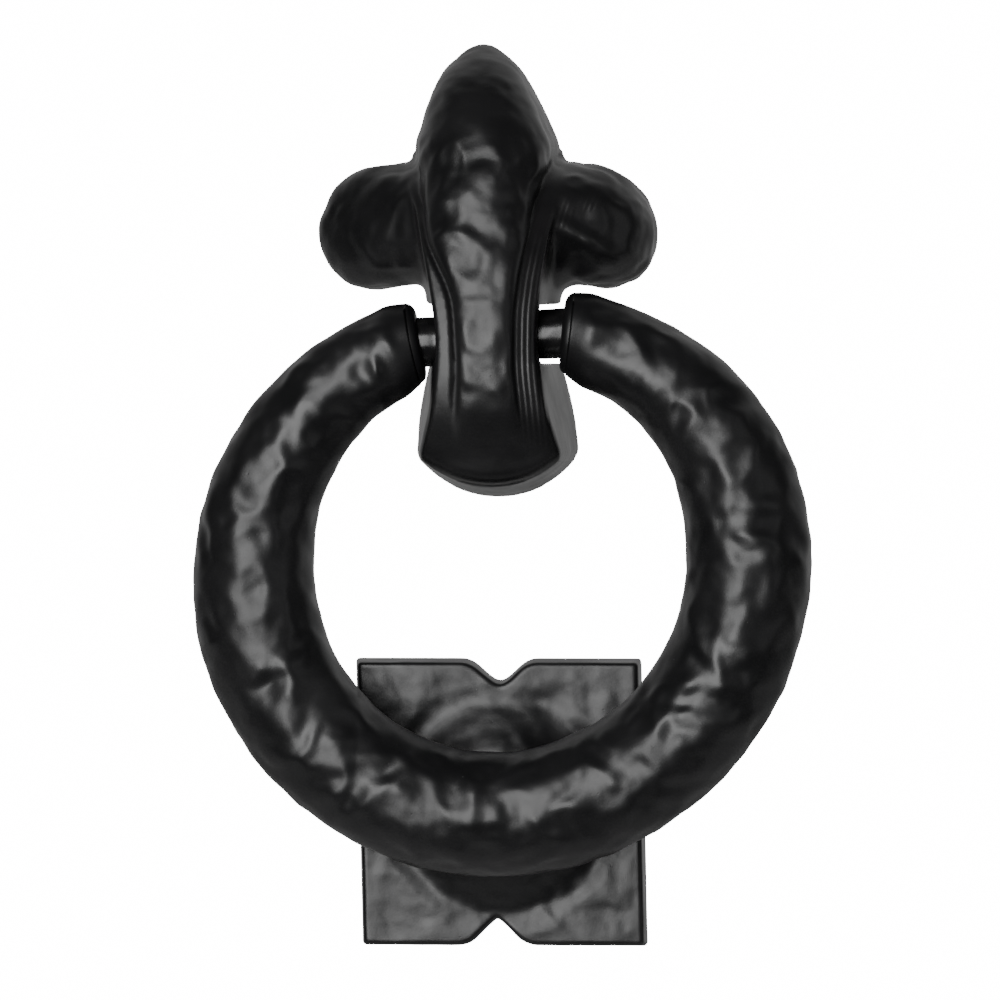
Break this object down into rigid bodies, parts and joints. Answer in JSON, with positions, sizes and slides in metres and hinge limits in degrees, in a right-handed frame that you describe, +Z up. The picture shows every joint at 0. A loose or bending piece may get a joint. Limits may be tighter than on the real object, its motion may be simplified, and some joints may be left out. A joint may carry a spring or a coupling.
{
  "type": "door knocker",
  "caption": "Ring door knocker with a fleur-de-lis head, a hinged ring on a pivot pin, a domed strike plate and bolt-through door fixings.",
  "frame": {"origin": "on the door's face, midway between the head's two studs and level with the pivot pin", "axes": "+Z up along the knocker, +Y into the door, +X to the right as seen from in front of the door"},
  "size_m": [0.1248, 0.0936, 0.1845],
  "materials": {
    "hammered_black": "satin black coating over a hammered casting",
    "black_pin": "smooth satin black coating, rubbed at the bearing",
    "plated_steel": "bright zinc plating"
  },
  "bodies": {
    "fixed_castings": {"head_casting": "hammered_black", "keeper_strap": "plated_steel", "keeper_screws": "plated_steel", "strike_plate": "hammered_black", "door_studs": "plated_steel", "door_washers": "plated_steel", "door_nuts": "plated_steel"},
    "ring": {"knocker_ring": "hammered_black", "pivot_pin": "black_pin"}
  },
  "joints": [
    {"name": "ring_swing", "type": "hinge", "parent": "fixed_castings", "child": "ring", "pos_m": [0, -0.025, 0], "axis": [-1, 0, 0], "range_deg": [0, 187]}
  ]
}
